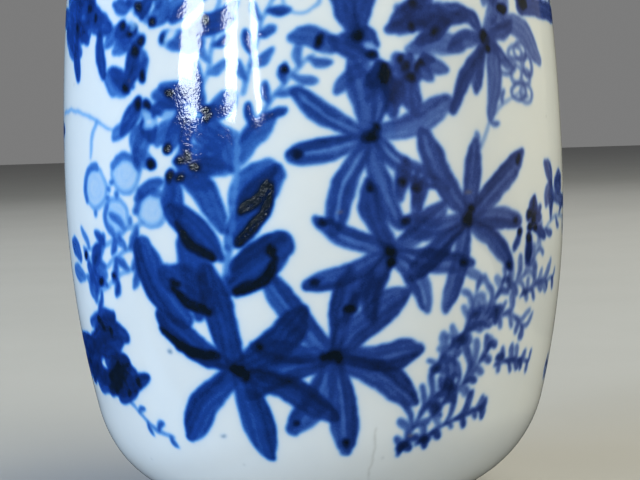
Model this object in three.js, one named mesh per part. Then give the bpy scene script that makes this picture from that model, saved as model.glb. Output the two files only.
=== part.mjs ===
// Porcelain sake bottle (tokkuri): a wheel-thrown flask in luted sections, with its glaze coats as thin
// shells of their own. Millimetres, +Z up, origin at the centre of the plane that the foot rests on.
import * as THREE from "three";

// Driving dimensions. A heading is a profile's lean from straight up, in degrees, positive outward.
const GLAZE = 0.4; // thickness of every glaze coat
const WALL = 3.8; // finished wall, both glaze coats included
const SEGMENTS = 36; // facets round the axis

const FOOT_GLAZE_EDGE = { r: 25.3, z: 0.98, heading: 8 }; // where the outer glaze stops, above the foot's edge
const FOOT_WALL = 3.2; // straight stretch of the foot's outer side
const FOOT_FILLET = 1.5; // hollow where foot and body meet
const UNDERSIDE_HEADING = 61.8; // lean of the body where it leaves the foot
const CORNER_RADIUS = 20.4; // round lower corner of the body
const WALL_HEADING = 13.3; // lean of the body above that corner
const LOWER_WALL_RADIUS = 150; // long swell up to the widest point
const UPPER_WALL_RADIUS = 348; // long swell from the widest point to the shoulder
const SHOULDER_HEADING = -6.3; // where the shoulder starts
const SHOULDER_RADIUS = 27;
const NAPE_HEADING = -72; // where the shoulder turns hollow
const NAPE_RADIUS = 12;
const NECK_HEADING = -3;
const NECK_LENGTH = 9;
const FLARE_RADIUS = 22; // hollow curve that opens the mouth
const MOUTH_HEADING = 38;

const INSIDE_CORNER_RADIUS = 14.5; // tighter than the outside, so that the floor is thick

const FOOT_FLAT = { outer: 24.2, inner: 23 }; // the unglazed ring that the bottle stands on
const FOOT_EDGE_ROUND = 0.45;
const RECESS_GLAZE_EDGE = { r: 22.1, z: 1, heading: -10 }; // where the recess glaze starts, inside the foot
const RECESS_WALL = 2.6;
const RECESS_CORNER_RADIUS = 1.2;
const RECESS_CEILING_HEADING = -88;

const PORCELAIN = { color: 0xe9e4da, roughness: 0.85, metalness: 0 };
const CLEAR_GLAZE = { color: 0xdfe6ea, roughness: 0.12, metalness: 0 };
const PAINTED_GLAZE = { color: 0x9fb0d6, roughness: 0.12, metalness: 0 };

const radians = (degrees) => (degrees * Math.PI) / 180;

// A pen that draws a profile in the (radius, height) plane. inset moves the whole line to the pen's left.
class Pen {
  constructor({ r, z, heading }, inset) {
    this.heading = radians(heading);
    this.inset = inset;
    this.r = r - inset * Math.cos(this.heading);
    this.z = z + inset * Math.sin(this.heading);
  }
  line(length) {
    const start = [this.r, this.z];
    this.r += length * Math.sin(this.heading);
    this.z += length * Math.cos(this.heading);
    return [start, [this.r, this.z]];
  }
  arc(radius, toHeading, steps) {
    const from = this.heading;
    const turn = radians(toHeading) - from;
    const side = Math.sign(turn); // -1 turns left, 1 turns right
    const size = radius + side * this.inset;
    const centreR = this.r + side * size * Math.cos(from);
    const centreZ = this.z - side * size * Math.sin(from);
    const points = [[this.r, this.z]];
    for (let i = 1; i <= steps; i++) {
      this.heading = from + (turn * i) / steps;
      this.r = centreR - side * size * Math.cos(this.heading);
      this.z = centreZ + side * size * Math.sin(this.heading);
      points.push([this.r, this.z]);
    }
    return points;
  }
}

// The wall from the foot's glaze edge up and over the lip, as named stretches. inset 0 is the outer glaze's
// surface, and inset WALL the inner glaze's.
function wall(inset) {
  const pen = new Pen(FOOT_GLAZE_EDGE, inset);
  return {
    foot: pen.line(FOOT_WALL),
    fillet: pen.arc(FOOT_FILLET, UNDERSIDE_HEADING, 2),
    corner: pen.arc(CORNER_RADIUS, WALL_HEADING, 5),
    lower: pen.arc(LOWER_WALL_RADIUS, 0, 3),
    upper: pen.arc(UPPER_WALL_RADIUS, SHOULDER_HEADING, 2),
    shoulder: pen.arc(SHOULDER_RADIUS, NAPE_HEADING, 6),
    nape: pen.arc(NAPE_RADIUS, NECK_HEADING, 4),
    neck: pen.line(NECK_LENGTH),
    flare: pen.arc(FLARE_RADIUS, MOUTH_HEADING, 3),
    lip: pen.arc(WALL / 2, MOUTH_HEADING - 180, 6),
  };
}

// The inside corner and floor, from the wall in to the axis. inset 0 is the glaze's surface.
function insideFloor(inset) {
  const [r, z] = wall(WALL).lower[0];
  const pen = new Pen({ r, z, heading: WALL_HEADING - 180 }, inset);
  const corner = pen.arc(INSIDE_CORNER_RADIUS, -90, 5);
  return [...corner, [0, pen.z]];
}

// The hollow inside the foot, from its glaze edge to the axis. inset 0 is the glaze's surface, and a
// negative inset lies in the porcelain.
function recess(inset) {
  const pen = new Pen(RECESS_GLAZE_EDGE, inset);
  const side = pen.line(RECESS_WALL);
  const corner = pen.arc(RECESS_CORNER_RADIUS, RECESS_CEILING_HEADING, 3);
  const rise = pen.r / Math.tan(radians(-RECESS_CEILING_HEADING));
  return [...side, ...corner, [0, pen.z + rise]];
}

const backwards = (points) => [...points].reverse();

// One closed body of revolution from a profile that starts and ends on the axis, or closes on itself.
function turned(name, profile, look) {
  const points = profile.filter(
    ([r, z], i) => i === 0 || Math.hypot(r - profile[i - 1][0], z - profile[i - 1][1]) > 1e-6,
  );
  const onAxis = points[0][0] === 0;
  if (!onAxis) points.push(points[0]);
  const lathe = new THREE.LatheGeometry(
    points.map(([r, z]) => new THREE.Vector2(r, z)),
    SEGMENTS,
  );
  lathe.rotateX(Math.PI / 2); // a lathe turns about Y
  const mesh = new THREE.Mesh(lathe, new THREE.MeshStandardMaterial(look));
  mesh.name = name;
  return mesh;
}

const glazed = wall(0);
const paste = wall(GLAZE);
const pasteInside = wall(WALL - GLAZE);
const glazedInside = wall(WALL);

// A ring of wall between two parallel lines over the same stretches.
function band(name, left, right, stretches, look) {
  const over = (line) => stretches.flatMap((stretch) => line[stretch]);
  return turned(name, [...over(left), ...backwards(over(right))], look);
}

function footRing() {
  const outer = paste.foot;
  const inner = recess(-GLAZE);
  const top = inner.length - 2; // where the recess corner meets the ceiling
  return turned(
    "foot_ring",
    [
      ...outer,
      inner[top],
      ...backwards(inner.slice(0, top)),
      [FOOT_FLAT.inner - FOOT_EDGE_ROUND, FOOT_EDGE_ROUND * 0.4],
      [FOOT_FLAT.inner, 0],
      [FOOT_FLAT.outer, 0],
      [FOOT_FLAT.outer + FOOT_EDGE_ROUND, FOOT_EDGE_ROUND * 0.4],
    ],
    PORCELAIN,
  );
}

function baseBowl() {
  const ceiling = recess(-GLAZE);
  return turned(
    "base_bowl",
    [
      ceiling.at(-1),
      ceiling.at(-2),
      ...paste.fillet,
      ...paste.corner,
      ...insideFloor(GLAZE),
    ],
    PORCELAIN,
  );
}

function mouthLip() {
  return turned(
    "mouth_lip",
    [...paste.flare, ...paste.lip, ...backwards(pasteInside.flare)],
    PORCELAIN,
  );
}

function neckGlaze() {
  const climb = (line) => [...line.nape, ...line.neck, ...line.flare];
  return turned(
    "neck_and_lip_glaze",
    [
      ...climb(glazed),
      ...glazed.lip,
      ...backwards(climb(glazedInside)),
      ...climb(pasteInside),
      ...backwards(paste.lip),
      ...backwards(climb(paste)),
    ],
    CLEAR_GLAZE,
  );
}

function insideGlaze() {
  const climb = (line) => [...line.lower, ...line.upper, ...line.shoulder];
  return turned(
    "inside_glaze",
    [
      ...backwards(insideFloor(GLAZE)),
      ...climb(pasteInside),
      ...backwards(climb(glazedInside)),
      ...insideFloor(0),
    ],
    CLEAR_GLAZE,
  );
}

function recessGlaze() {
  return turned("foot_recess_glaze", [...backwards(recess(0)), ...recess(-GLAZE)], CLEAR_GLAZE);
}

const bottle = new THREE.Group();
bottle.add(
  footRing(),
  baseBowl(),
  band("body_wall", paste, pasteInside, ["lower", "upper"], PORCELAIN),
  band("shoulder", paste, pasteInside, ["shoulder"], PORCELAIN),
  band("neck", paste, pasteInside, ["nape", "neck"], PORCELAIN),
  mouthLip(),
  band("body_glaze", glazed, paste, ["foot", "fillet", "corner", "lower", "upper"], PAINTED_GLAZE),
  band("shoulder_glaze", glazed, paste, ["shoulder"], PAINTED_GLAZE),
  neckGlaze(),
  insideGlaze(),
  recessGlaze(),
);

export default bottle;
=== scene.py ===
"""Porcelain sake bottle painted in cobalt blue under a clear glaze: its looks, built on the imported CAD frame.

The smooth glaze and the foot are meshes turned from the same profile as the CAD. The painting is laid on a
canvas of pigment, stroke by stroke, and the glaze's meshes carry it as point attributes.
"""

import math
from math import cos, degrees, pi, radians, sin

import bmesh
import bpy
import numpy as np
from mathutils import Matrix, Vector


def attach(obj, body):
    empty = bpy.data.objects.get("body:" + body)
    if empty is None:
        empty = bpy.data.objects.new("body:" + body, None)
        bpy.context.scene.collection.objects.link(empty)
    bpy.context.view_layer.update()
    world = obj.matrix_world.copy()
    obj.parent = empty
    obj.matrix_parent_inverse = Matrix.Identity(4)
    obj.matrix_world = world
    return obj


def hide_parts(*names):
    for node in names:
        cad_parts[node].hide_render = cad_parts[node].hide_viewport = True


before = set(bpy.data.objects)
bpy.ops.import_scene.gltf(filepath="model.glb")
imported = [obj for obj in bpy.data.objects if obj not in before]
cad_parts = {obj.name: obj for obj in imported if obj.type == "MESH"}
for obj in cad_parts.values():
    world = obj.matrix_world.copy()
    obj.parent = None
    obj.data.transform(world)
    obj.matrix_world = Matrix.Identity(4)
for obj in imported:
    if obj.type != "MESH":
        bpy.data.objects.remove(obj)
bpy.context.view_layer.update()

MM = 0.001
rng = np.random.default_rng(7)


def put(name, data):
    """A new object in the scene."""
    made = bpy.data.objects.new(name, data)
    bpy.context.scene.collection.objects.link(made)
    return made


# ---- Profile: the CAD's dimensions in millimetres, with headings in degrees from straight up ----

GLAZE = 0.4
WALL = 3.8
FOOT_GLAZE_EDGE = (25.3, 0.98, 8)  # radius, height, heading
FOOT_WALL = 3.2
FOOT_FILLET = (1.5, 61.8)  # radius of the curve, heading at its end, as in the curves below
CORNER = (20.4, 13.3)
LOWER_WALL = (150, 0)
UPPER_WALL = (348, -6.3)
SHOULDER = (27, -72)
NAPE = (12, -3)
NECK_LENGTH = 9
FLARE = (22, 38)
LIP = (WALL / 2, FLARE[1] - 180)
INSIDE_CORNER = (14.5, -90)
FOOT_FLAT = (23, 24.2)  # inner and outer radius of the ring that the bottle stands on
RECESS_GLAZE_EDGE = (22.1, 1, -10)
RECESS_WALL = 2.6
RECESS_CORNER = (1.2, -88)
STEP = 0.4  # millimetres between a profile's points


class Pen:
    """Draws a profile in the (radius, height) plane, moved to its left by inset, with its headings."""

    def __init__(self, start, inset=0):
        radius, height, heading = start
        self.heading = radians(heading)
        self.inset = inset
        self.r = radius - inset * cos(self.heading)
        self.z = height + inset * sin(self.heading)
        self.points = []
        self.mark()

    def mark(self):
        self.points.append((self.r, self.z, self.heading))

    def line(self, length):
        steps = max(1, round(length / STEP))
        r, z = self.r, self.z
        for k in range(1, steps + 1):
            self.r = r + length * k / steps * sin(self.heading)
            self.z = z + length * k / steps * cos(self.heading)
            self.mark()
        return self

    def arc(self, curve):
        radius, end = curve
        start = self.heading
        turn = radians(end) - start
        side = math.copysign(1, turn)
        size = radius + side * self.inset
        centre_r = self.r + side * size * cos(start)
        centre_z = self.z - side * size * sin(start)
        steps = max(4, round(abs(turn) * radius / STEP))
        for k in range(1, steps + 1):
            self.heading = start + turn * k / steps
            self.r = centre_r - side * size * cos(self.heading)
            self.z = centre_z + side * size * sin(self.heading)
            self.mark()
        return self

    def cut(self):
        """The stretch drawn since the last cut, as an array of (radius, height, heading)."""
        stretch = np.array(self.points)
        self.points = [self.points[-1]]
        return stretch


def join_lines(*lines):
    """Lines that follow one another, as one."""
    return np.vstack([lines[0], *(line[1:] for line in lines[1:])])


def wall(inset):
    """The wall's line in stretches: base, trunk and both as body, shoulder, neck, and lip."""
    pen = Pen(FOOT_GLAZE_EDGE, inset)
    base = pen.line(FOOT_WALL).arc(FOOT_FILLET).arc(CORNER).cut()
    trunk = pen.arc(LOWER_WALL).arc(UPPER_WALL).cut()
    shoulder = pen.arc(SHOULDER).cut()
    neck = pen.arc(NAPE).line(NECK_LENGTH).arc(FLARE).cut()
    lip = pen.arc(LIP).cut()
    return {"trunk": trunk, "body": join_lines(base, trunk), "shoulder": shoulder, "neck": neck, "lip": lip}


def to_axis(pen, slope=0):
    """Draws on to the bottle's axis, with that much rise per millimetre."""
    steps = max(8, round(pen.r))
    start_r, start_z = pen.r, pen.z
    for k in range(1, steps + 1):
        pen.r = start_r * (1 - k / steps)
        pen.z = start_z + slope * (start_r - pen.r)
        pen.mark()
    return pen


def inside_floor(inset):
    """The corner and floor inside, from the trunk's inner foot to the axis."""
    r, z, heading = wall(WALL)["trunk"][0]
    pen = Pen((r, z, degrees(heading) - 180), inset)
    return to_axis(pen.arc(INSIDE_CORNER)).cut()


def recess(inset):
    """The hollow inside the foot, from its glaze edge to the axis. A negative inset lies in the porcelain."""
    pen = Pen(RECESS_GLAZE_EDGE, inset).line(RECESS_WALL).arc(RECESS_CORNER)
    return to_axis(pen, 1 / math.tan(radians(-RECESS_CORNER[1]))).cut()


def backwards(line):
    """The same line drawn the other way."""
    turned_back = line[::-1].copy()
    turned_back[:, 2] += pi
    return turned_back


def run_lengths(line):
    """Distance along a line of (radius, height, ...) points, from its start."""
    return np.concatenate([[0], np.hypot(*np.diff(line[:, :2], axis=0).T).cumsum()])


GLAZED = wall(0)
BELLY = GLAZED["body"][:, 0].max()
GIRTH = 2 * pi * BELLY
BODY_TOP = run_lengths(GLAZED["body"])[-1]
SHOULDER_TOP = BODY_TOP + run_lengths(GLAZED["shoulder"])[-1]
NECK_TOP = SHOULDER_TOP + run_lengths(GLAZED["neck"])[-1]

# ---- The canvas and the brush ----
# u runs round the bottle in millimetres at its widest, 0 on the side that faces the camera (-Y) and growing
# to the right. v runs up the outer glaze's profile in millimetres, from its edge at the foot.

CELL = 0.18
ROWS = round(NECK_TOP / CELL) + 1
COLUMNS = round(GIRTH / CELL)
CELL_U = GIRTH / COLUMNS
LAYERS = {name: np.zeros((ROWS, COLUMNS)) for name in ("wash", "iron", "rust")}


def ease(x):
    x = np.clip(x, 0, 1)
    return x * x * (3 - 2 * x)


def between(sheet, i, j, fy, fx):
    """A sheet that closes on itself sideways, at the shares fy and fx past its row i and column j."""
    left, right = j % sheet.shape[1], (j + 1) % sheet.shape[1]
    low = sheet[i, left] * (1 - fx) + sheet[i, right] * fx
    top = sheet[i + 1, left] * (1 - fx) + sheet[i + 1, right] * fx
    return low * (1 - fy) + top * fy


def cloud(size):
    """Smooth noise from -1 to 1 over the canvas, with lumps of that size."""
    high, wide = int(ROWS * CELL / size) + 3, max(3, round(GIRTH / size))
    lattice = rng.uniform(-1, 1, (high, wide))
    y, x = (np.arange(ROWS) * CELL / size)[:, None], np.arange(COLUMNS) * wide / COLUMNS
    i, j = y.astype(int), x.astype(int)
    return between(lattice, i, j, ease(y - i), ease(x - j))


# The hand's unsteadiness: how far the strokes' edges wander.
WOBBLE_U = 0.22 * cloud(2.1) + 0.1 * cloud(0.8)
WOBBLE_V = 0.22 * cloud(1.9) + 0.1 * cloud(0.8)


def window(points, reach):
    """The canvas's cells round some points, and their own places, wandered by the wobble."""
    low, high = points.min(0) - reach, points.max(0) + reach
    columns = np.arange(math.floor(low[0] / CELL_U), math.ceil(high[0] / CELL_U) + 1)
    rows = np.arange(max(0, math.floor(low[1] / CELL)), min(ROWS, math.ceil(high[1] / CELL) + 1))
    cells = np.ix_(rows, (columns + COLUMNS // 2) % COLUMNS)
    u, v = np.meshgrid(columns * CELL_U, rows * CELL)
    return cells, u + WOBBLE_U[cells], v + WOBBLE_V[cells]


def smooth_path(points, per_span=7):
    """A Catmull-Rom curve through the points."""
    p = np.array(points, float)
    p = np.vstack([2 * p[0] - p[1], p, 2 * p[-1] - p[-2]])
    t = np.linspace(0, 1, per_span, endpoint=False)[:, None]
    spans = []
    for a, b, c, d in zip(p, p[1:], p[2:], p[3:]):
        bend = t**2 * (a - 2.5 * b + 2 * c - d / 2)
        twist = t**3 * (1.5 * (b - c) + (d - a) / 2)
        spans.append(b + t * (c - a) / 2 + bend + twist)
    return np.vstack([*spans, p[-2:-1]])


def nearest(path, u, v):
    """For each place: how far the path is, how much of it lies behind, and which side (+ is left)."""
    start, span = path[:-1], np.diff(path, axis=0)
    length = np.hypot(*span.T) + 1e-9
    du, dv = u[..., None] - start[:, 0], v[..., None] - start[:, 1]
    t = np.clip((du * span[:, 0] + dv * span[:, 1]) / length**2, 0, 1)
    gap = np.hypot(du - t * span[:, 0], dv - t * span[:, 1])
    k = gap.argmin(-1)[..., None]

    def pick(values):
        return np.take_along_axis(values, k, -1)[..., 0]

    behind = (length.cumsum() - length)[k[..., 0]] + pick(t) * length[k[..., 0]]
    side = span[k[..., 0], 0] * pick(dv) - span[k[..., 0], 1] * pick(du)
    return pick(gap), behind / length.sum(), np.sign(side)


BRISTLES = 0.11  # how strongly the bristles streak a stroke
BRISTLE_WAVE = 5.2  # radians of streak per millimetre across it
MIDRIB = 0.26  # half the width of a leaf's pale vein
HALVES_MEET = 0.25  # millimetres over which a leaf's two halves run together
WANDER = 0.4  # room round a stroke for the wobble
PILE_UP = 3.2  # washes that overlap: 1 would add them, and a high power keep the darker


def lay(layer, cells, amount):
    """Adds pigment."""
    sheet = LAYERS[layer]
    sheet[cells] = (sheet[cells] ** PILE_UP + np.maximum(amount, 0) ** PILE_UP) ** (1 / PILE_UP)


def stroke(
    points, width, wash=0.8, root=0.35, tip=0.2, fat=0.6, soft=0.45, sides=(1, 1), vein=0, rim=0.03,
    head=0, layer="wash",
):
    """One pull of the brush along the points, widest at fat. root and tip are its ends' widths as shares.

    sides scales the wash on the left and the right of the path, vein lightens a midrib, rim darkens the edge
    where the wash pooled, and head darkens the far end.
    """
    path = smooth_path(points)
    cells, u, v = window(path, width / 2 + soft + WANDER)
    gap, along, side = nearest(path, u, v)
    swell = np.sin(pi / 2 * np.clip(along / fat, 0, 1)) ** 0.8
    shrink = np.cos(pi / 2 * np.clip((along - fat) / (1 - fat), 0, 1)) ** 0.7
    share = np.where(along < fat, root + (1 - root) * swell, tip + (1 - tip) * shrink)
    half = width / 2 * share
    cover = ease((half - gap) / soft + 0.5)
    across = np.clip(gap / np.maximum(half, 0.1), 0, 1)
    tone = wash * (1 - rim / 2 + rim * across**2) * (1 + head * (along - 0.5))
    left = 0.5 + 0.5 * np.tanh(side * gap / HALVES_MEET)
    tone = tone * (sides[0] * left + sides[1] * (1 - left))
    phase = rng.uniform(0, 2 * pi)
    tone = tone * (1 + BRISTLES * np.sin(BRISTLE_WAVE * side * gap + 4 * along + phase))
    middle = ease(along / 0.2) * ease((1 - along) / 0.12)
    tone = tone * (1 - vein * middle * np.exp(-((gap / MIDRIB) ** 2)))
    lay(layer, cells, cover * tone)


def leaf(base, end, width, bow=0, wash=0.8, **more):
    """A leaf from base to end, bowed to its left by that many millimetres."""
    base, end = np.array(base, float), np.array(end, float)
    run = end - base
    across = np.array([-run[1], run[0]]) / np.hypot(*run)
    stroke([base, (base + end) / 2 + bow * across, end], width, wash, **more)


def stem(points, width=0.5, wash=0.3, **more):
    stroke(points, width, wash, **{"root": 1, "tip": 0.7, "soft": 0.4, "rim": 0, **more})


def spot(u, v, across, high, turn, soft):
    """Cells near an ellipse turned by that many degrees, and how far in each lies, from 0 to 1."""
    high = high or across
    cells, x, y = window(np.array([[u, v]]), max(across, high) / 2 + soft + WANDER)
    a = radians(turn)
    along = (x - u) * cos(a) + (y - v) * sin(a)
    beside = (y - v) * cos(a) - (x - u) * sin(a)
    size = np.hypot(along / across, beside / high) * 2
    return cells, ease((1 - size) * min(across, high) / 2 / soft + 0.5)


def blot(u, v, across, high=None, turn=0, wash=1.3, iron=0, rust=0, soft=0.5):
    """A pool of pigment, across by high. iron blackens it, rust browns it."""
    cells, cover = spot(u, v, across, high, turn, soft)
    lay("wash", cells, cover * wash)
    if iron:
        clots(u, v, across, high or across, turn, iron)
    if rust:
        lay("rust", cells, cover * rust)


def clots(u, v, across, high, turn, iron):
    """The black of a pool: it settles in a few ragged clots."""
    small, a = min(across, high), radians(turn)
    for _ in range(round(4 + 2.5 * max(across, high) / small)):
        reach, aim = rng.uniform(0, 0.34), rng.uniform(0, 2 * pi)
        size = small * rng.uniform(0.3, 0.75)
        along, beside = across * reach * cos(aim), high * reach * sin(aim)
        clot_u = u + along * cos(a) - beside * sin(a)
        clot_v = v + along * sin(a) + beside * cos(a)
        cells, cover = spot(clot_u, clot_v, size, size, 0, 0.4)
        lay("iron", cells, cover * iron * rng.uniform(0.75, 1.1))


def reserve(u, v, across, high=None, turn=0, keep=0.1, soft=0.5):
    """A spot that the brush left white."""
    cells, cover = spot(u, v, across, high, turn, soft)
    for sheet in LAYERS.values():
        sheet[cells] *= 1 - (1 - keep) * cover


def ring(u, v, across, high=None, width=0.6, wash=0.5, start=0, end=360, **more):
    """A brushed arc of an ellipse, from start to end degrees."""
    high = high or across
    angles = np.radians(np.linspace(start, end, max(4, round(abs(end - start) / 30))))
    points = np.stack([u + across / 2 * np.cos(angles), v + high / 2 * np.sin(angles)], 1)
    stroke(points, width, wash, **{"root": 1, "tip": 1, "soft": 0.4, "rim": 0, **more})


# ---- The figures: garden plants, each drawn afresh by the seeded hand ----

SIDES = ((1, 1), (1.12, 0.86), (0.86, 1.12))  # which half of a leaf took more wash
# A burnt margin's shape: shares of the leaf's length, and of its width out from the midrib.
MARGIN = ((0.1, 0.2), (0.5, 0.42), (0.85, 0.2))


def polar(u, v, reach, turn):
    """The point reach millimetres from (u, v), turn degrees round from the right."""
    return np.array([u + reach * cos(radians(turn)), v + reach * sin(radians(turn))])


def about(value, share):
    """The value, give or take that share of it."""
    return value * rng.uniform(1 - share, 1 + share)


def within(u, v, across, high, turn=None):
    """A random point in an ellipse, in the direction turn if that is given."""
    reach = math.sqrt(rng.uniform(0, 1)) / 2
    turn = rng.uniform(0, 360) if turn is None else turn
    return polar(0, 0, reach, turn) * (across, high) + (u, v)


def direction(path, i):
    """Where a path runs at its point i, in degrees."""
    run = path[i + 1] - path[i]
    return degrees(math.atan2(run[1], run[0]))


def pool(u, v, size, iron=0.85, turn=None):
    """A black pool, a little longer than wide."""
    turn = rng.uniform(0, 180) if turn is None else turn
    blot(u, v, about(size * 1.15, 0.2), about(size * 0.85, 0.15), turn=turn, wash=1.4, iron=iron)


def black_margin(base, end, width, bow):
    """The pigment that ran to a leaf's lower edge and burned black there."""
    run = end - base
    normal = np.array([-run[1], run[0]]) / np.hypot(*run)
    low = -normal if normal[1] > 0 else normal
    line = [base + run * t + low * width * d + normal * bow * 2 * t * (1 - t) for t, d in MARGIN]
    for layer, thick, amount in (("wash", 1.8, 1.4), ("iron", 1.5, 1.0)):
        stroke(line, thick, amount, root=0.7, tip=0.3, fat=0.4, layer=layer)


def whorl(u, v, reach, count, width=3.8, wash=0.85, turn=0, vein=0.2, tipped=0.35):
    """Lance-shaped leaves round a black heart, with pools at some of their tips."""
    for k in range(count):
        aim = turn + (k + rng.uniform(-0.24, 0.24)) * 360 / count
        long = about(reach, 0.17)
        thick, bow, tone = about(width, 0.16), rng.uniform(-1.2, 1.2), about(wash, 0.14)
        root, tip, fat = rng.uniform(0.3, 0.6), rng.uniform(0.3, 0.6), rng.uniform(0.52, 0.72)
        rib, sides = about(vein, 0.8), SIDES[rng.integers(3)]
        start, end = polar(u, v, 1, aim), polar(u, v, long, aim)
        leaf(start, end, thick, bow, tone, root=root, tip=tip, fat=fat, vein=rib, sides=sides)
        if rng.random() < tipped:
            pool(*polar(u, v, long * 0.92, aim), 1.4, iron=0.6, turn=aim)
    pool(u, v, 2.3, iron=1)
    pool(*polar(u, v, 1.6, rng.uniform(0, 360)), 1.5)


def shrub(u, v, height, pairs, length, width, wash, lean=0):
    """A pale stem with broad leaves in pairs, smaller and paler to the top."""
    foot, top = np.array([u, v]), np.array([u + lean, v + height])
    for k in range(pairs):
        share = (k + 0.3) / pairs
        for side in (-1, 1):
            base = foot + (top - foot) * (share + rng.uniform(-0.1, 0.1)) + np.array([side * 0.6, 0])
            aim = 90 - side * about(30 + 18 * (1 - share), 0.4)
            long, thick = about(length * (1 - 0.35 * share), 0.2), about(width * (1 - 0.4 * share), 0.2)
            end = polar(*base, long, aim)
            bow = side * rng.uniform(0.2, 1.4)
            tone = about(wash * (1 - 0.35 * share), 0.08)
            sides = SIDES[rng.integers(3)]
            leaf(base, end, thick, bow, tone, root=0.3, tip=0.65, fat=0.66, sides=sides, vein=0.08)
            if share < 0.6 and rng.random() < 0.5:
                black_margin(base, end, thick, bow)
            if rng.random() < 0.5:
                pool(*(base + (end - base) * rng.uniform(0.6, 0.9)), 1.6)
    middle = (foot + top) / 2 + np.array([0.8, 0])
    for at in smooth_path([foot, middle, top], 6):
        reserve(*at, 1.1, 2.2, turn=rng.uniform(-15, 15), keep=0.45)
    stem([foot, middle, top], 1.1, 0.42)


def crowd(u, v, across, high, count, aim=10, length=8, width=3, wash=0.85, pools=0.4):
    """Leaves crowded into an ellipse, all brushed about one way, with pools between them."""
    for _ in range(count):
        at = within(u, v, across, high)
        turn = aim + rng.uniform(-28, 28)
        start, end = polar(*at, -about(length / 2, 0.3), turn), polar(*at, about(length / 2, 0.3), turn)
        thick, bow, tone = about(width, 0.3), rng.uniform(-0.6, 0.6), about(wash, 0.2)
        leaf(start, end, thick, bow, tone, root=0.6, tip=0.5, head=0.12)
        if rng.random() < pools:
            pool(*at, 1.5, iron=0.6)


def bouquet(u, v, across, high, count, length=4.4, width=2.6, wash=0.75, pools=0.45, gaps=0):
    """Small leaves that point out of an ellipse, with pools among them and white gaps."""
    for _ in range(count):
        turn = rng.uniform(0, 360)
        at = within(u, v, across, high, turn)
        aim = turn + rng.uniform(-50, 50)
        end = polar(*at, about(length, 0.3), aim)
        thick, bow, tone = about(width, 0.3), rng.uniform(-0.5, 0.5), about(wash, 0.25)
        leaf(at, end, thick, bow, tone, root=0.6, tip=0.5)
        if rng.random() < pools:
            pool(*at, 1.6, iron=0.75, turn=aim)
    for _ in range(gaps):
        at = within(u, v, across, high)
        reserve(*at, about(2.4, 0.3), about(1.3, 0.3), turn=rng.uniform(0, 180), keep=0.25)


def twig(path, leaves, length=4, wash=0.6, pools=0):
    """A thin stem with small leaves to either side, and a pool on some of them."""
    line = smooth_path(path, 12)
    stem(path, 0.7, wash * 0.55)
    for k in range(leaves):
        i = int((k + 0.8) / leaves * (len(line) - 2))
        aim = direction(line, i) + (-1) ** k * rng.uniform(35, 60)
        end = polar(*line[i], about(length, 0.25), aim)
        leaf(line[i], end, length * 0.42, 0.3 * (-1) ** k, about(wash, 0.25), root=0.3, tip=0.5)
        if rng.random() < pools:
            pool(*(line[i] + (end - line[i]) * 0.7), 1.4, iron=0.7)


def daisy(u, v, size, turn=0):
    """A round flower head: a pale middle, and dark petals brushed along part of its rim."""
    ring(u, v, size * 0.5, size * 0.48, width=size * 0.5, wash=0.14)
    ring(u, v, size * 1.05, size, width=0.7, wash=0.34)
    ring(u, v, size * 1.1, size, width=1.3, wash=0.56, start=turn, end=turn + about(120, 0.2))
    for _ in range(3):
        blot(*polar(u, v, size * 0.62, rng.uniform(0, 360)), 1.3, 0.9, turn=rng.uniform(0, 180), wash=0.6)


def frond(spine, count, length, width, wash, lean, curl):
    """One side of a fern's frond: curled leaflets along a spine, lean degrees to its left."""
    path = smooth_path(spine, 12)
    for k, share in enumerate(np.linspace(0.04, 0.96, count)):
        i = int(share * (len(path) - 2))
        aim = direction(path, i) + lean + rng.uniform(-16, 16)
        reach = about(length * (0.6 + 0.4 * sin(pi * (k + 0.7) / count)), 0.28)
        thick, bow, tone = about(width, 0.3), about(curl, 0.6), about(wash, 0.22)
        leaf(path[i], polar(*path[i], reach, aim), thick, bow, tone, root=0.3, tip=0.8, fat=0.85)


def fern(spine, length, wash):
    """A fern's frond with leaflets to both sides, closer and darker near its foot."""
    stem(spine, 0.8, wash * 0.9)
    reach = float(np.hypot(*np.diff(np.array(spine, float), axis=0).T).sum())
    count = max(4, round(reach / 2.1))
    frond(spine, count, length * 1.3, 1.2, wash, 40, -0.9)
    frond(spine, count, length * 0.8, 1.3, wash * 1.15, -38, 0.6)
    foot = polar(*spine[0], 1.6, rng.uniform(20, 90))
    blot(*foot, 2.4, 1.5, turn=rng.uniform(0, 90), wash=wash * 1.4, iron=0.2)


def loops(u, v, size, wash=0.56):
    """An open flower drawn in outline, as a bunch of small loops."""
    for k in range(9):
        at = polar(u, v, size * rng.uniform(0.2, 0.65), k * 40 + rng.uniform(-15, 15))
        ring(*at, about(size * 0.5, 0.25), about(size * 0.4, 0.25), width=0.7, wash=about(wash, 0.15))


RUST_SPECKS, PINHOLES = 5, 24
HAIRLINE = ((9, 22.4), (8.8, 18.6), (8.5, 15.2), (8.7, 11))


def flaws():
    """Wear: rust specks on the front, pinholes all round and a hairline crack."""
    for _ in range(RUST_SPECKS):
        u, v = rng.uniform(-30, 34), rng.uniform(20, 60)
        blot(u, v, about(1.1, 0.4), about(0.5, 0.4), wash=0.25, rust=0.55, soft=0.35)
    for _ in range(PINHOLES):
        blot(rng.uniform(0, GIRTH), rng.uniform(12, 88), 0.35, 0.25, wash=0.05, rust=0.45, soft=0.25)
    stroke(HAIRLINE, 0.28, 0.3, root=1, tip=0.6, soft=0.25, layer="rust")


# ---- Where the figures go ----


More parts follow.
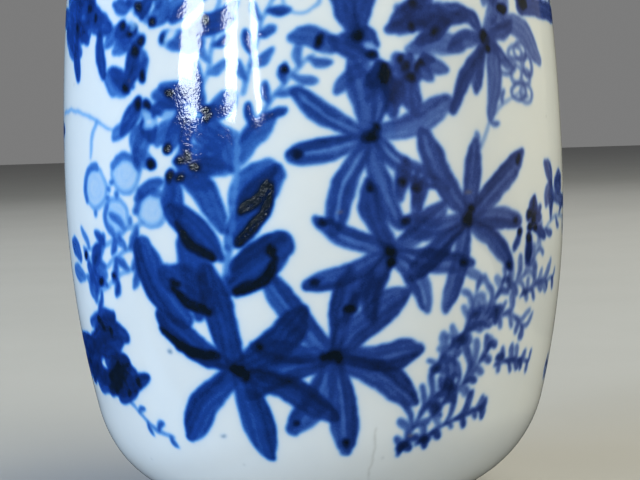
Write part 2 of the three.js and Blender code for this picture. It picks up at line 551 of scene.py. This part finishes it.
def front():
    """The side that faces the camera: an upright plant, five whorls, ferns to the right, bouquets above."""
    # The crowded dark leaves at the lower left, and a sprig that trails from them.
    crowd(-44, 33, 17, 12, 20, aim=14, length=9, wash=0.82)
    crowd(-36.5, 28.5, 9, 6, 9, length=5.5, width=2.8, wash=0.95, pools=0.7)
    twig([(-36, 25.5), (-33, 23), (-30, 21.4), (-26.5, 20.6)], 4, 2.4, 0.8, pools=0.4)
    # Twigs and flower heads at the left.
    twig([(-54, 70.2), (-48, 70.4), (-41, 69.6), (-33, 67)], 0, wash=0.5)
    stem([(-37.5, 68.6), (-39.2, 66), (-39.8, 63)], 0.9, 0.27)
    daisy(-38.6, 58.6, 6.2, 80)
    daisy(-30.6, 60.6, 5.6, 20)
    daisy(-33, 54.4, 5.2, 150)
    daisy(-25.4, 55.6, 5.2, 60)
    leaf((-28.6, 57), (-23.2, 59.6), 1.8, 0.3, 0.7)
    for v in (51, 47.8, 44.8):
        branch = [(-27, v + 2.6), (-32, v + 1.2), (-37.6, v - 1.6), (-43, v - 2.2)]
        twig(branch, 6, 3.6, 0.64, pools=0.15)
    bouquet(-43, 46.6, 8, 8, 7, wash=0.7, pools=0.2)
    # The upright plant.
    leaf((-20.6, 39), (-27.6, 49.4), 5.4, 0.8, 0.9, root=0.5, tip=0.75, sides=(1.15, 0.85), vein=0.1)
    leaf((-18.2, 40), (-19.4, 50.6), 4.6, -0.4, 0.84, root=0.5, tip=0.7, vein=0.12)
    shrub(-14.6, 40, 26, 4, 12, 6, 1, lean=4)
    # The bouquets at the upper left.
    bouquet(-27, 71, 13, 9, 15, wash=0.7, gaps=7)
    bouquet(-24.6, 82, 15, 10, 17, length=4.8, width=2.8, wash=0.7, gaps=7)
    bouquet(-21.6, 61.4, 9, 6, 11, wash=0.76, pools=0.6)
    bouquet(-17.4, 68.4, 6, 5, 6, wash=0.66, pools=0.2)
    twig([(-16.5, 72), (-14.8, 76), (-14, 81), (-13, 87)], 7, 3.4, 0.66, pools=0.25)
    crowd(-46, 84, 16, 7, 11, aim=-4, width=3.2, wash=0.76, pools=0.3)
    for u in (-45.6, -37):
        leaf((u, 81.6), (u + 1.2, 75.4), 2.6, -0.4, 0.9, root=0.7, tip=0.6)
    # Twigs and small flowers above the middle.
    twig([(-8.4, 66), (-6, 70.4), (-3, 74), (0.6, 77)], 8, 3.4, 0.78, pools=0.3)
    twig([(-9.6, 72), (-8.2, 77), (-6.6, 82), (-4.4, 86)], 7, 3.2, 0.74, pools=0.35)
    ring(-0.8, 85.4, 5.6, 4.8, width=0.5, wash=0.34)
    leaf((-2.6, 79.4), (3.2, 78.4), 3.2, 0.7, 0.72, root=0.3, tip=0.8)
    pool(1.6, 79, 1.9)
    for tip_u in (4.4, 9.6):
        leaf((7, 79), (tip_u, 88), 3.4, 0.3, 0.88, root=0.4, tip=0.7, fat=0.72)
    pool(7.1, 79.4, 2)
    # The flower cluster and the long leaves at the upper right.
    bouquet(12.2, 76.2, 9, 7, 14, length=4.6, width=2.8, wash=0.86, pools=0.6, gaps=3)
    crowd(18.6, 82.6, 11, 5, 9, aim=8, length=6, width=2.8, wash=0.8, pools=0.5)
    leaf((15, 77.4), (23.4, 77.8), 3.2, 0.7, 0.6, root=0.5, tip=0.6)
    whorl(28.4, 79.2, 7.4, 6, 2.4, 0.8, turn=24, vein=0.05, tipped=0.3)
    leaf((27.8, 77.8), (21.6, 68.8), 2.2, -0.5, 1, root=0.5, tip=0.6, fat=0.4)
    leaf((31, 81.4), (43, 76), 3.8, 2, 0.64, root=0.4, tip=0.6)
    leaf((28.6, 67.2), (30.2, 78.2), 3.2, -0.6, 0.7, root=0.4, tip=0.7)
    leaf((38, 84), (56, 83.4), 3.2, 0.3, 0.86, root=0.7, tip=0.8)
    pool(33, 83.4, 2.2, iron=1)
    pool(39, 84.8, 2.8, iron=1, turn=8)
    loops(37, 74.4, 6.6)
    twig([(24.8, 60.6), (27, 64), (29, 67.4), (33, 70), (38, 71.6)], 4, 2.2, 0.62)
    # The leaves behind the whorls.
    crowd(14.6, 57.4, 6, 5, 4, aim=80, length=5, width=2, wash=0.76, pools=0.6)
    crowd(7, 41.6, 6, 5, 4, aim=70, length=4.4, width=1.6, wash=0.86, pools=0.2)
    # The five whorls.
    whorl(8.4, 65.2, 12.6, 8, 3.5, 0.82, turn=12, vein=0.4, tipped=0.3)
    whorl(23.6, 52.6, 13.2, 8, 3.5, 0.92, turn=40, vein=0.2)
    whorl(11, 48.6, 11.4, 7, 3.3, 0.9, turn=-8, vein=0.35)
    whorl(2.4, 33.6, 14, 9, 4, 0.9, turn=6, vein=0.25, tipped=0.5)
    whorl(-12.6, 31.8, 15.6, 6, 4.8, 1, turn=38, vein=0.1, tipped=0.2)
    black_margin(np.array([-14, 34.2]), np.array([-27, 39.6]), 4.6, 0.5)
    # The ferns.
    for spine, length, wash in (
        ([(13.2, 17.6), (15.4, 21.8), (17.8, 25.2), (21.6, 28.4)], 3.4, 0.78),
        ([(16.4, 19), (20.4, 21.4), (24.6, 22.8), (29, 23.4)], 3, 0.74),
        ([(18.4, 23), (22.6, 26.8), (26.4, 29.8), (29.4, 33.6)], 3.4, 0.66),
        ([(17.8, 29.6), (20.8, 33.6), (25, 36.2), (29.4, 38)], 3.2, 0.68),
        ([(25.6, 36.6), (29, 39.4), (31.4, 43)], 3.2, 0.58),
        ([(29.6, 37.4), (33.6, 37.8), (37.6, 35.4)], 3, 0.58),
        ([(32.4, 41.4), (36.8, 43.6), (41, 47.2)], 3.6, 0.52),
        ([(35.8, 40.2), (41.4, 41.6), (48.6, 42)], 3.2, 0.52),
        ([(31, 30), (35.4, 30.4), (40.6, 29.4)], 2.6, 0.66),
        ([(22.6, 33.4), (24.8, 38), (26, 43)], 2.8, 0.56),
        ([(21.4, 26), (22.4, 30), (21.8, 34.6)], 2.8, 0.6),
    ):
        fern(spine, length, wash)
    # What runs out of sight round the right side.
    bouquet(37.6, 50.6, 6, 4, 8, length=3.2, width=2.2, wash=0.92, pools=0.6)
    bouquet(46.2, 57, 5, 4, 6, length=3.4, width=2.4, wash=0.74, pools=0)
    twig([(40, 47.4), (44, 50.4), (49, 51.6), (56, 51)], 6, 3, 0.62)
    leaf((44.8, 54.8), (58, 53.4), 2.1, 0, 0.7, root=0.5, tip=0.9)


def back():
    """The painting goes on round the bottle with the same figures."""
    for u, v, reach, count, turn in (
        (92, 76, 11, 8, 0),
        (118, 34, 13, 8, 25),
        (124, 56, 13, 7, 50),
        (142, 44, 13, 8, 10),
        (101, 33, 15, 6, 30),
        (158, 67, 12, 8, 70),
        (176, 52, 12, 7, 15),
        (183, 33, 13, 8, 40),
        (78, 60, 11, 7, 5),
    ):
        whorl(u, v, reach, count, 3.8, 0.88, turn)
    shrub(106, 42, 25, 4, 11, 5.4, 0.95, lean=-4)
    shrub(164, 34, 24, 4, 11, 5.2, 0.9, lean=3)
    for u, v, aim in ((84, 34, 12), (66, 48, -10), (150, 56, 15), (172, 78, 5)):
        crowd(u, v, 16, 9, 14, aim=aim)
    for u, v in ((132, 77), (112, 80), (148, 82), (76, 84), (192, 66), (72, 68)):
        bouquet(u, v, 14, 10, 18, gaps=4)
    for u, v, turn in ((66, 62, 20), (72, 65, 90), (187, 68, 60), (181, 64, 150)):
        daisy(u, v, 5.4, turn)
    for u in (62, 74, 134, 152, 168):
        for lean in (-7, 1, 9):
            foot = u + lean * 0.3
            spine = [(foot, 20), (foot + lean * 0.3, 25), (foot + lean, 30 - abs(lean) * 0.3)]
            fern(spine, 3.0, about(0.6, 0.15))
    for u, v in ((60, 56), (88, 62), (134, 66), (146, 74), (170, 62)):
        twig([(u, v), (u + 3, v + 4), (u + 8, v + 6), (u + 14, v + 6)], 7, 3.6, 0.66, pools=0.2)


def shoulder_flowers():
    """Bouquets, whorls and twigs that climb the shoulder and thin out below the neck."""
    for u in (-44, -24, 2, 18, 36, 54, 78, 110, 140, 166, 186):
        bouquet(u, about(91, 0.02), 15, 9, 14)
    for k, u in enumerate((-36, -12, 26, 66, 96, 126, 154, 182)):
        whorl(u, about(101, 0.015), 11, 7 + k % 2, 3.5, 0.85, turn=rng.uniform(0, 50))
    for k in range(9):
        u = -124 + k * GIRTH / 9 + rng.uniform(-4, 4)
        path = [(u, 97), (u + 3, 103), (u + rng.uniform(-6, 6), 109), (u + rng.uniform(-5, 8), 114)]
        twig(path, 7, 4.5, 0.65)


def girdle_line(v, width, wash):
    """A thin line brushed all the way round."""
    gap = np.abs(np.arange(ROWS)[:, None] * CELL + WOBBLE_V * 0.6 - v)
    cover = ease((width / 2 * (1 + 0.5 * cloud(9)) - gap) / 0.4 + 0.5)
    lay("wash", slice(None), cover * wash * (1 + 0.3 * cloud(14)))


FIRED, FIRED_MORE = 1.22, 0.05  # how the fire deepened the blue, and what it added on one side
FIRE_SIDE, FIRE_REACH = -28, 26  # where that side is in u, and how far it reaches
BLEED = {"wash": 0.22, "iron": 0.14, "rust": 0.14}  # millimetres that each pigment spreads in the glaze
HALO, HALO_SHARE = 0.8, 0.1  # the blue's faint halo: its spread and strength


def deepen():
    """The blue burned deepest on the front's left, which faced the fire."""
    round_about = (np.arange(COLUMNS) - COLUMNS // 2) * CELL_U
    LAYERS["wash"] *= FIRED + FIRED_MORE * np.exp(-(((round_about - FIRE_SIDE) / FIRE_REACH) ** 2))


def sink_in():
    """The pigment spreads in the melted glaze: a soft edge, and a faint halo round the blue."""
    halo = spread(LAYERS["wash"], HALO)
    for name, sheet in LAYERS.items():
        LAYERS[name] = spread(sheet, BLEED[name])
    soft = LAYERS["wash"]
    LAYERS["wash"] = np.maximum(soft, soft * (1 - HALO_SHARE) + HALO_SHARE * halo)


def spread(sheet, size):
    """The sheet blurred by about that many millimetres."""
    reach = max(1, math.ceil(2.5 * size / CELL))
    weights = np.exp(-((np.arange(-reach, reach + 1) * CELL / size) ** 2) / 2)
    weights /= weights.sum()
    tall = np.pad(sheet, ((reach, reach), (0, 0)), mode="edge")
    down = sum(w * tall[k : k + ROWS] for k, w in enumerate(weights))
    return sum(w * np.roll(down, k - reach, axis=1) for k, w in enumerate(weights))


back()
shoulder_flowers()
front()
flaws()
girdle_line(119.2, 0.8, 0.7)
girdle_line(121.4, 1.6, 0.9)
deepen()
sink_in()


# ---- Meshes ----

FINE, COARSE = 0.2, 0.4  # millimetres between columns of points, on the front and elsewhere
FRONT = 64  # the front's half width in u
INSIDE_ROWS = 4  # millimetres between rows where a shell faces the porcelain
SEAM = 0.03  # a last thin row, so that shading runs smoothly over the seam between two pieces
PLAIN = (0.4, 0.5)  # FINE and COARSE for pieces without painting
SHARP = 35  # degrees between faces that shade as an edge
AXIS = 1e-7  # metres from the axis within which points are one point
# How far the hand-thrown wall stands out, over the foot on the left and at the belly on the right.
FOOT_BULGE, BELLY_BULGE = 0.45, 0.15
SWAY, THROWING_RINGS = 0.04, 0.002  # a slow three-sided sway, and the potter's fingers


def girdle(fine=FINE, coarse=COARSE):
    """Angles round the axis, 0 on -Y and growing towards +X, closer together on the front."""
    half = FRONT / BELLY
    front = np.linspace(-half, half, round(2 * FRONT / fine), endpoint=False)
    back = np.linspace(half, 2 * pi - half, round((GIRTH - 2 * FRONT) / coarse), endpoint=False)
    return np.concatenate([front, back])


def along_line(line, stops):
    """The line's (radius, height) at those distances from its start, on its true curve."""
    run = run_lengths(line)
    k = np.clip(np.searchsorted(run, stops, "right") - 1, 0, len(line) - 2)
    span = run[k + 1] - run[k]
    t = ((stops - run[k]) / span)[:, None]
    slopes = np.stack([np.sin(line[:, 2]), np.cos(line[:, 2])], 1)
    leave, arrive = span[:, None] * slopes[k], span[:, None] * slopes[k + 1]
    start, end = line[k, :2], line[k + 1, :2]
    return (
        (2 * t**3 - 3 * t**2 + 1) * start
        + (t**3 - 2 * t**2 + t) * leave
        + (3 * t**2 - 2 * t**3) * end
        + (t**3 - t**2) * arrive
    )


def rows(line, step):
    """Evenly spaced distances along a line, with one more close to either end."""
    length = run_lengths(line)[-1]
    even = np.linspace(0, length, max(2, round(length / step)) + 1)
    return np.concatenate([[0, SEAM], even[1:-1], [length - SEAM, length]])


def thrown(theta, height):
    """How far the hand-thrown wall stands out from a true circle, in millimetres."""
    foot = np.exp(-(((height - 7) / 7) ** 2))
    belly = np.exp(-(((height - 50) / 30) ** 2))
    lean = FOOT_BULGE * foot * (1 - np.sin(theta)) / 2
    lean = lean + BELLY_BULGE * belly * (1 + np.sin(theta + 0.5)) / 2
    return lean + SWAY * np.sin(3 * theta + height / 12) + THROWING_RINGS * np.sin(height * 1.3 + theta)


def turned(name, profile, angles, outside=0):
    """A closed body of revolution from a closed profile of (radius, height), anticlockwise, in millimetres.

    The first points, as many as outside says, are the bottle's outer surface, which the hand left uneven.
    """
    across, along = len(angles), len(profile)
    theta = np.repeat(angles, along)
    radius, height = np.tile(profile[:, 0], across), np.tile(profile[:, 1], across)
    if outside:
        radius = radius + np.tile(np.arange(along) < outside, across) * thrown(theta, height)
    places = np.stack([radius * np.sin(theta), -radius * np.cos(theta), height], 1) * MM
    i, j = np.meshgrid(np.arange(across), np.arange(along), indexing="ij")
    i, j = i.ravel(), j.ravel()
    i_next, j_next = (i + 1) % across, (j + 1) % along
    corners = [i * along + j, i_next * along + j, i_next * along + j_next, i * along + j_next]
    faces = np.stack(corners, 1)
    mesh = bpy.data.meshes.new(name)
    mesh.vertices.add(len(places))
    mesh.vertices.foreach_set("co", places.ravel())
    mesh.loops.add(faces.size)
    mesh.loops.foreach_set("vertex_index", faces.ravel())
    mesh.polygons.add(len(faces))
    mesh.polygons.foreach_set("loop_start", np.arange(0, faces.size, 4))
    mesh.update(calc_edges=True)
    if (np.hypot(places[:, 0], places[:, 1]) < AXIS).any():
        close_axis(mesh)
    mesh.shade_smooth()
    mesh.set_sharp_from_angle(angle=radians(SHARP))
    return put(name, mesh)


def close_axis(mesh):
    """Turns the squares that run into the axis into triangles."""
    body = bmesh.new()
    body.from_mesh(mesh)
    on_axis = [v for v in body.verts if math.hypot(v.co.x, v.co.y) < AXIS]
    bmesh.ops.remove_doubles(body, verts=on_axis, dist=1e-6)
    body.to_mesh(mesh)
    body.free()


def rounded(start, end, steps=5):
    """Points on the half circle that runs from start to end, anticlockwise."""
    middle, arm = (start + end) / 2, (start - end) / 2
    turns = np.linspace(0, pi, steps + 2)[1:-1, None]
    return middle + arm * np.cos(turns) + np.array([-arm[1], arm[0]]) * np.sin(turns)


def shell(name, outer, inner, step, angles, rim_start=False, rim_end=False, outside=False):
    """A thin closed shell between two parallel lines, with a point each step on the outer one.

    rim_start and rim_end round its edges. Returns the piece and each profile point's distance along the
    outer line, or -1 off it.
    """
    stops = rows(outer, step)
    face = along_line(outer, stops)
    back = along_line(inner, rows(inner, INSIDE_ROWS))[::-1]
    end = [rounded(face[-1], back[0])] if rim_end else []
    start = [rounded(back[-1], face[0])] if rim_start else []
    profile = np.vstack([face, *end, back, *start])
    piece = turned(name, profile, angles, outside=len(face) if outside else 0)
    return piece, np.concatenate([stops, np.full(len(profile) - len(face), -1.0)])


def paint(piece, stops, angles, start_v):
    """Gives a piece the canvas's pigment. stops are its profile's distances up from start_v, or -1."""
    theta, stops = np.repeat(angles, len(stops)), np.tile(stops, len(angles))
    x, y = theta * BELLY / CELL_U + COLUMNS // 2, np.clip((start_v + stops) / CELL, 0, ROWS - 1.001)
    i, j = np.floor(y).astype(int), np.floor(x).astype(int)
    for layer, sheet in LAYERS.items():
        pigment = np.where(stops < 0, 0, between(sheet, i, j, y - i, x - j))
        attribute = piece.data.attributes.new(layer, "FLOAT", "POINT")
        attribute.data.foreach_set("value", pigment.astype(np.float32))


# ---- Materials ----


class Surface:
    """A material with one Principled shader, and short ways to build its nodes."""

    def __init__(self, name, **sockets):
        self.material = bpy.data.materials.new(name)
        self.material.use_nodes = True
        self.tree = self.material.node_tree
        self.shader = self.tree.nodes["Principled BSDF"]
        self.wire(**sockets)
        self.place = self.add("ShaderNodeTexCoord").outputs["Object"]

    def add(self, kind, inputs=(), **settings):
        """A node with its settings, its inputs given as {name or number: value or output}."""
        made = self.tree.nodes.new(kind)
        for key, value in settings.items():
            setattr(made, key, value)
        for key, value in dict(inputs).items():
            self.set(made.inputs[key], value)
        return made

    def set(self, socket, value):
        if isinstance(value, bpy.types.NodeSocket):
            self.tree.links.new(value, socket)
        else:
            socket.default_value = value

    def noise(self, size, detail=2.0, rough=0.5, low=0.3, high=0.7, to=(0, 1)):
        """Noise with lumps of that many millimetres, whose low..high is spread over the range to."""
        inputs = {"Vector": self.place, "Scale": 1 / (size * MM), "Detail": detail, "Roughness": rough}
        return self.spread(self.add("ShaderNodeTexNoise", inputs).outputs[0], low, high, *to)

    def spread(self, value, low, high, to_low, to_high):
        """Maps low..high on to to_low..to_high, and holds the ends."""
        inputs = {"Value": value, "From Min": low, "From Max": high, "To Min": to_low, "To Max": to_high}
        return self.add("ShaderNodeMapRange", inputs).outputs[0]

    def math(self, operation, *values, clamp=False):
        inputs = enumerate(values)
        return self.add("ShaderNodeMath", inputs, operation=operation, use_clamp=clamp).outputs[0]

    def mix(self, share, first, second, blend="MIX"):
        made = self.add("ShaderNodeMix", data_type="RGBA", blend_type=blend)
        for key, value in (("Factor_Float", share), ("A_Color", first), ("B_Color", second)):
            socket = next(s for s in made.inputs if s.identifier == key)
            self.set(socket, (*value, 1) if isinstance(value, tuple) else value)
        return next(s for s in made.outputs if s.identifier == "Result_Color")

    def ramp(self, level, side):
        """COBALT's tint for that level of wash, of its left (1) or right (2) side: the two sides differ by
        painted light, a cool cast on the left and a warm veil on the right.
        """
        made = self.add("ShaderNodeValToRGB", {"Fac": level})
        stops = made.color_ramp.elements
        while len(stops) < len(COBALT):
            stops.new(0.5)
        for stop, row in zip(stops, COBALT):
            stop.position = row[0] / FULL_WASH
            stop.color = (*row[side], 1)
        return made.outputs[0]

    def bump(self, height, depth, under=None):
        """Raises the surface by height times depth millimetres."""
        inputs = {"Height": height, "Distance": depth * MM, "Strength": 1.0}
        if under:
            inputs["Normal"] = under
        return self.add("ShaderNodeBump", inputs).outputs[0]

    def wire(self, **sockets):
        """Sets or links the shader's own sockets."""
        for socket, value in sockets.items():
            self.set(self.shader.inputs[socket.replace("_", " ")], value)
        return self.material


GROUND = (0.8, 0.83, 0.845)
GROUND_CLOUDED = tuple(c * s for c, s in zip(GROUND, (0.965, 0.975, 0.985)))
GLAZE_IOR, GLAZE_ROUGHNESS = 1.5, (0.04, 0.07)
# What a wash of each strength leaves of the white under it: clear blue on the left, greyer and more violet
# # on the right. The two sides differ by painted light: a cool cast of light on the left, a warm veil on the
# right.
COBALT = (
    (0, (1, 1, 1), (1, 1, 1)),
    (0.25, (0.33, 0.61, 0.98), (0.52, 0.66, 0.93)),
    (0.5, (0.108, 0.32, 0.78), (0.25, 0.36, 0.73)),
    (0.75, (0.04, 0.152, 0.54), (0.11, 0.168, 0.47)),
    (1.0, (0.015, 0.066, 0.34), (0.042, 0.073, 0.285)),
    (1.4, (0.008, 0.03, 0.155), (0.014, 0.028, 0.125)),
    (2.0, (0.006, 0.012, 0.026), (0.007, 0.012, 0.026)),
)
FULL_WASH = 2.0
# The span over which the painted light shifts from the cool left tint to the warm right one.
PAINTED_LIGHT_SPAN = (-8, 32)  # millimetres right of the middle where it goes from one to the other
IRON_BLACK = (0.004, 0.008, 0.014)
RUST_BROWN = (0.15, 0.148, 0.11)


def glaze_relief(surface):
    """The soft unevenness of a dipped and fired glaze, as a normal."""
    slow = surface.noise(7, detail=1, low=0, high=1)
    orange_peel = surface.noise(1.6, detail=1, low=0, high=1)
    return surface.bump(orange_peel, 0.006, surface.bump(slow, 0.05))


def white_ground(surface):
    """The porcelain's white seen through the glaze, faintly clouded."""
    return surface.mix(surface.noise(9, detail=3), GROUND, GROUND_CLOUDED)


def painted_glaze():
    """Cobalt blue and iron-black brush painting under a clear glaze."""
    surface = Surface("painted_glaze", Roughness=0.05, IOR=GLAZE_IOR)
    ground = white_ground(surface)
    wash, iron, rust = (
        surface.add("ShaderNodeAttribute", attribute_name=layer).outputs["Fac"] for layer in LAYERS
    )
    mottle = surface.noise(1.6, detail=3, to=(0.93, 1.07))
    grain = surface.noise(0.25, detail=2, to=(0.95, 1.05))
    strength = surface.math("MULTIPLY", surface.math("MULTIPLY", wash, mottle), grain)
    level = surface.math("DIVIDE", strength, FULL_WASH)
    # Painted light: along X the paint's tint shifts from the cool cast on the left to the warm, greyer veil on
    # the right.
    across = surface.add("ShaderNodeSeparateXYZ", {"Vector": surface.place}).outputs["X"]
    painted_warm_light_share = surface.spread(across, PAINTED_LIGHT_SPAN[0] * MM, PAINTED_LIGHT_SPAN[1] * MM, 0, 1)
    tint = surface.mix(painted_warm_light_share, surface.ramp(level, 1), surface.ramp(level, 2))
    colour = surface.mix(1.0, ground, tint, blend="MULTIPLY")
    patchy = surface.noise(0.8, detail=3, to=(0.75, 1.15))
    black = surface.math("MULTIPLY", iron, patchy, clamp=True)
    colour = surface.mix(black, colour, IRON_BLACK)
    colour = surface.mix(surface.math("MULTIPLY", rust, patchy, clamp=True), colour, RUST_BROWN)
    rough = surface.math("ADD", surface.math("MULTIPLY", black, 0.06), surface.noise(3, to=GLAZE_ROUGHNESS))
    crystals = surface.math("MULTIPLY", surface.noise(0.3, detail=2, low=0.4, high=0.7), black)
    deep = surface.spread(wash, 0.7, 1.2, 0, 1)
    pits = surface.math("MULTIPLY", surface.noise(0.45, detail=2, low=0.35, high=0.75), deep)
    relief = surface.bump(crystals, 0.015, surface.bump(pits, 0.009, glaze_relief(surface)))
    return surface.wire(Base_Color=colour, Roughness=rough, Normal=relief)


def clear_glaze():
    """The same glaze over bare white."""
    surface = Surface("clear_glaze", Roughness=0.05, IOR=GLAZE_IOR)
    colour, rough = white_ground(surface), surface.noise(3, to=GLAZE_ROUGHNESS)
    return surface.wire(Base_Color=colour, Roughness=rough, Normal=glaze_relief(surface))


def bare_porcelain():
    """Fired, unglazed porcelain: matt, sandy and faintly warm."""
    surface = Surface("porcelain", IOR=1.45)
    sand = surface.noise(0.5, detail=4, rough=0.7)
    stain = surface.noise(5, detail=3, low=0.45, high=0.75)
    colour = surface.mix(sand, (0.74, 0.71, 0.64), (0.86, 0.84, 0.78))
    colour = surface.mix(surface.math("MULTIPLY", stain, 0.35), colour, (0.58, 0.44, 0.3))
    rough = surface.noise(0.8, to=(0.6, 0.85))
    return surface.wire(Base_Color=colour, Roughness=rough, Normal=surface.bump(sand, 0.04))


# ---- Pieces ----

PAINTED = painted_glaze()
CLEAR = clear_glaze()
PORCELAIN = bare_porcelain()


def place(piece, material, node):
    piece.data.materials.append(material)
    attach(piece, "root")
    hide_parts(node)


def painted_shells():
    """The outer glaze of the body and the shoulder, with the painting."""
    angles, paste = girdle(), wall(GLAZE)
    for part, step, at_foot, start_v in (("body", 0.2, True, 0), ("shoulder", 0.25, False, BODY_TOP)):
        lines = GLAZED[part], paste[part]
        piece, stops = shell(f"painted_{part}", *lines, step, angles, rim_start=at_foot, outside=True)
        paint(piece, stops, angles, start_v)
        place(piece, PAINTED, f"{part}_glaze")


def clear_shells():
    """The glaze over the neck and the lip, the whole inside, and the hollow of the foot."""
    angles = girdle(*PLAIN)
    paste, inside, inner_paste = wall(GLAZE), wall(WALL), wall(WALL - GLAZE)
    face, back = (
        join_lines(near["neck"], near["lip"], backwards(far["neck"]))
        for near, far in ((GLAZED, inside), (paste, inner_paste))
    )
    neck, _ = shell("glazed_neck_and_lip", face, back, 0.3, angles)
    place(neck, CLEAR, "neck_and_lip_glaze")
    face, back = (
        join_lines(backwards(line["shoulder"]), backwards(line["trunk"]), inside_floor(depth))
        for line, depth in ((inside, 0), (inner_paste, GLAZE))
    )
    hollow, _ = shell("glazed_inside", face, back, 0.8, angles[::2])
    place(hollow, CLEAR, "inside_glaze")
    face, back = backwards(recess(0)), backwards(recess(-GLAZE))
    foot, _ = shell("glazed_foot_recess", face, back, 0.3, angles, rim_end=True)
    place(foot, CLEAR, "foot_recess_glaze")


# The foot's worn edges: distance out from its flat, and height.
INNER_EDGE = ((0.75, 0.42), (0.3, 0.08), (-0.1, 0))
OUTER_EDGE = ((-0.1, 0), (0.3, 0.08), (0.62, 0.4))
UNDER_GLAZE = 0.95  # the share of the glaze coats' height that the ring goes up behind them


def foot_ring():
    """The turned foot that the bottle stands on, bare and gritty between its two glaze edges."""
    outside, hollow = wall(GLAZE)["body"], recess(-GLAZE)
    outside = outside[outside[:, 1] < outside[0, 1] + FOOT_WALL * UNDER_GLAZE, :2]
    hollow = hollow[hollow[:, 1] < RECESS_GLAZE_EDGE[1] + RECESS_WALL * UNDER_GLAZE, :2]
    inner, outer = FOOT_FLAT
    edges = [(inner - out, z) for out, z in INNER_EDGE] + [(outer + out, z) for out, z in OUTER_EDGE]
    bare = smooth_path([hollow[0], *edges, outside[0]], 6)
    profile = np.vstack([outside, hollow[::-1], bare[1:-1]])
    profile[:, 1] = np.maximum(profile[:, 1], 0)
    place(turned("foot_ring_bare", profile, girdle(*PLAIN)), PORCELAIN, "foot_ring")


def porcelain_inside():
    """The fired clay behind the glaze keeps its CAD shape."""
    for node in ("base_bowl", "body_wall", "shoulder", "neck", "mouth_lip"):
        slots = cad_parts[node].data.materials
        slots.clear()
        slots.append(PORCELAIN)


painted_shells()
clear_shells()
foot_ring()
porcelain_inside()


# ---- Stage: floor, light and camera ----

AIM = Vector((0, 0, 0.06))  # where the lights point, in metres
LIGHT_DISTANCE = 1  # metres from there
SURROUND = (0.2, 0.2, 0.2)
WINDOW_GLOW = (15, 17, 19)
# name, azimuth, lower and upper edge, width, radiance in red, green and blue, lean
WINDOWS = (
    ("window_left", -53.5, 4.6, 16.5, 8.5, WINDOW_GLOW, -20),
    ("window_middle", -34.5, 4.6, 15.5, 5, WINDOW_GLOW, -8),
    ("window_right", -23.8, 4.4, 15.5, 2.4, WINDOW_GLOW, 14),
)
# The same, with a number of layers in place of the lean.
LIGHTS = (
    ("cool_left", -68, 16, 47, 55, (4.2, 6.5, 9.3), 5),
    ("warm_right", 75, 42, 78, 70, (8.2, 7.8, 5.9), 5),
    ("warm_front", 0, 18, 52, 34, (0.4, 0.4, 0.2), 5),
    ("soft_right", 85, -8, 42, 100, (1.6, 1.45, 1.15), 10),
    ("soft_back", 180, 16, 64, 68, (1.8, 1.8, 1.8), 5),
)
FADE = 0.7  # a light's layers shrink by up to this share, so that it fades towards its edges
FLOOR_REACH = 3  # metres from the bottle to the floor's edges
FLOOR_GREYS = ((0.4,) * 3, (0.42,) * 3)
SENSOR, LENS = 36, 94.67  # millimetres
CAMERA_DISTANCE = 0.28  # metres from what it looks at
CAMERA_AIM = Vector((0.000752, 0, 0.044274))
CAMERA_ELEVATION, CAMERA_ROLL = 4, -1.771  # degrees


def studio():
    """Window light from the front left, a warm soft light on the right, and a dim surround."""
    world = bpy.data.worlds.new("surround")
    world.use_nodes = True
    world.node_tree.nodes["Background"].inputs["Color"].default_value = (*SURROUND, 1)
    world.cycles_visibility.glossy = False
    bpy.context.scene.world = world
    for window in WINDOWS:
        softbox(*window)
    for name, azimuth, low, high, wide, radiance, layers in LIGHTS:
        for k in range(layers):
            inset = FADE * k / layers
            trim = inset * (high - low) / 2
            share = [band / layers for band in radiance]
            softbox(f"{name}_{k}", azimuth, low + trim, high - trim, wide * (1 - inset), share)


def facing(place_at, way, axis, roll):
    """A pose at that place with one axis along way, then rolled by that many degrees."""
    aimed = way.to_track_quat(axis, "Y").to_matrix().to_4x4()
    return Matrix.Translation(place_at) @ aimed @ Matrix.Rotation(radians(roll), 4, "Z")


def softbox(name, azimuth, low, high, wide, radiance, lean=0):
    """A rectangle of light that faces the bottle, its edges at the elevations low and high. Angles are in
    degrees: azimuth grows to the right from the camera's side, and lean says how far its top leans left."""
    tilt, turn = radians((low + high) / 2), radians(azimuth)
    width = 2 * LIGHT_DISTANCE * math.tan(radians(wide / 2))
    height = 2 * LIGHT_DISTANCE * math.tan(radians((high - low) / 2))
    light = bpy.data.lights.new(name, "AREA")
    light.shape, light.size, light.size_y = "RECTANGLE", width, height
    light.color = [band / max(radiance) for band in radiance]
    light.energy = 4 * width * height * max(radiance)
    lamp = put(name, light)
    away = Vector((sin(turn) * cos(tilt), -cos(turn) * cos(tilt), sin(tilt)))
    lamp.matrix_world = facing(away * LIGHT_DISTANCE + AIM, away, "Z", lean)
    lamp.visible_camera = False


def floor():
    mesh = bpy.data.meshes.new("floor")
    corners = [(x * FLOOR_REACH, y * FLOOR_REACH, 0) for x, y in ((-1, -1), (1, -1), (1, 1), (-1, 1))]
    mesh.from_pydata(corners, [], [(0, 1, 2, 3)])
    plane = put("floor", mesh)
    surface = Surface("floor", Roughness=0.7)
    shade = surface.mix(surface.noise(60, detail=3), *FLOOR_GREYS)
    plane.data.materials.append(surface.wire(Base_Color=shade))
    plane.visible_glossy = False


def camera():
    """Close in front of the body, a little above its middle, held slightly askew."""
    lens = bpy.data.cameras.new("camera")
    lens.sensor_width, lens.lens = SENSOR, LENS
    lens.clip_start, lens.clip_end = 0.01, 20
    view = put("camera", lens)
    elevation = radians(CAMERA_ELEVATION)
    forward = Vector((0, cos(elevation), -sin(elevation)))
    view.matrix_world = facing(CAMERA_AIM - forward * CAMERA_DISTANCE, forward, "-Z", CAMERA_ROLL)
    bpy.context.scene.camera = view


bpy.context.scene.view_settings.view_transform = "Standard"
studio()
floor()
camera()
